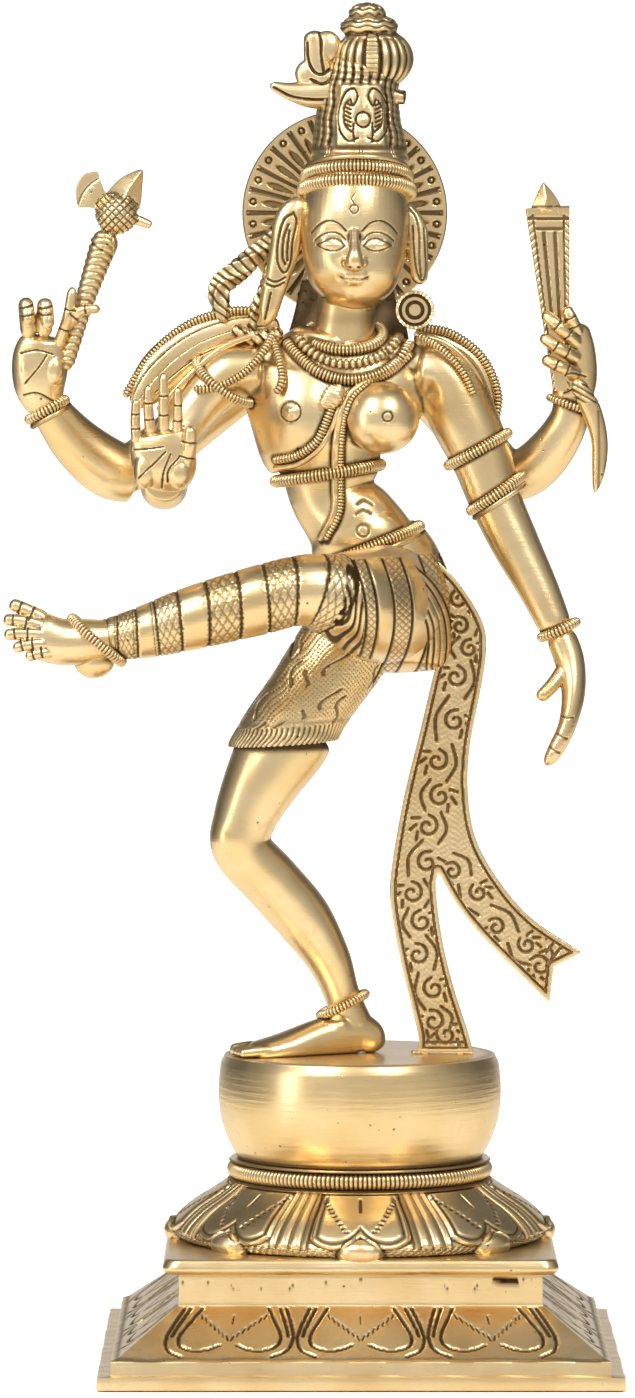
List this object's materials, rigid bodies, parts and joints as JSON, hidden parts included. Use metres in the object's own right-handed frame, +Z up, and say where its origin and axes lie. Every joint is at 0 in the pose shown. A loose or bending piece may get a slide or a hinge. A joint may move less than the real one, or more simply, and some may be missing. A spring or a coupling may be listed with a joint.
{
  "type": "cast brass dancing deity statue",
  "caption": "Cast brass statue of a four-armed dancing figure standing on a stacked lotus pedestal, bolted from below, that rests on its hollow square foot.",
  "frame": {"origin": "on the resting plane, under the middle of the whole outline", "axes": "+X to the viewer's right, +Y away from the viewer behind the figure, +Z up; the figure faces -Y"},
  "size_m": [0.2005, 0.17, 0.4471],
  "materials": {
    "brass": "satin, with dark patina in the engraving",
    "fixing_steel": "plain"
  },
  "bodies": {
    "root": {"abhaya_hand": "brass", "anklet_raised": "brass", "anklet_standing": "brass", "armlet_front_left_lower": "brass", "armlet_front_left_upper": "brass", "battle_axe": "brass", "blade_tassel": "brass", "bracelet_front_left": "brass", "bracelet_rear_left": "brass", "bracelet_rear_right": "brass", "chest_band_lower": "brass", "chest_band_upper": "brass", "crown_bun": "brass", "crown_crescent": "brass", "crown_pin": "fixing_steel", "diadem": "brass", "drum": "brass", "ear_drop_right": "brass", "earring_disc_left": "brass", "flame_blade": "brass", "front_left_arm": "brass", "front_left_arm_pin": "fixing_steel", "front_right_arm": "brass", "front_right_arm_pin": "fixing_steel", "girdle": "brass", "hair_crown": "brass", "halo": "brass", "halo_pin": "fixing_steel", "hanging_hand": "brass", "head": "brass", "hips": "brass", "lotus_ring": "brass", "milled_collar": "brass", "neck_pin": "fixing_steel", "necklace_inner": "brass", "necklace_outer": "brass", "pedestal_foot": "brass", "pedestal_slab": "brass", "raised_foot": "brass", "raised_leg": "brass", "raised_leg_pin": "fixing_steel", "rear_left_arm": "brass", "rear_left_arm_pin": "fixing_steel", "rear_left_hand": "brass", "rear_right_arm": "brass", "rear_right_arm_pin": "fixing_steel", "rear_right_hand": "brass", "sacred_thread": "brass", "sash": "brass", "shoulder_lock_left": "brass", "shoulder_lock_right": "brass", "shoulder_loop_right": "brass", "side_lock_right": "brass", "standing_leg": "brass", "standing_leg_pin": "fixing_steel", "tie_nut": "fixing_steel", "tie_rod": "fixing_steel", "tie_washer": "fixing_steel", "torso": "brass", "waist_pin": "fixing_steel"}
  },
  "joints": []
}
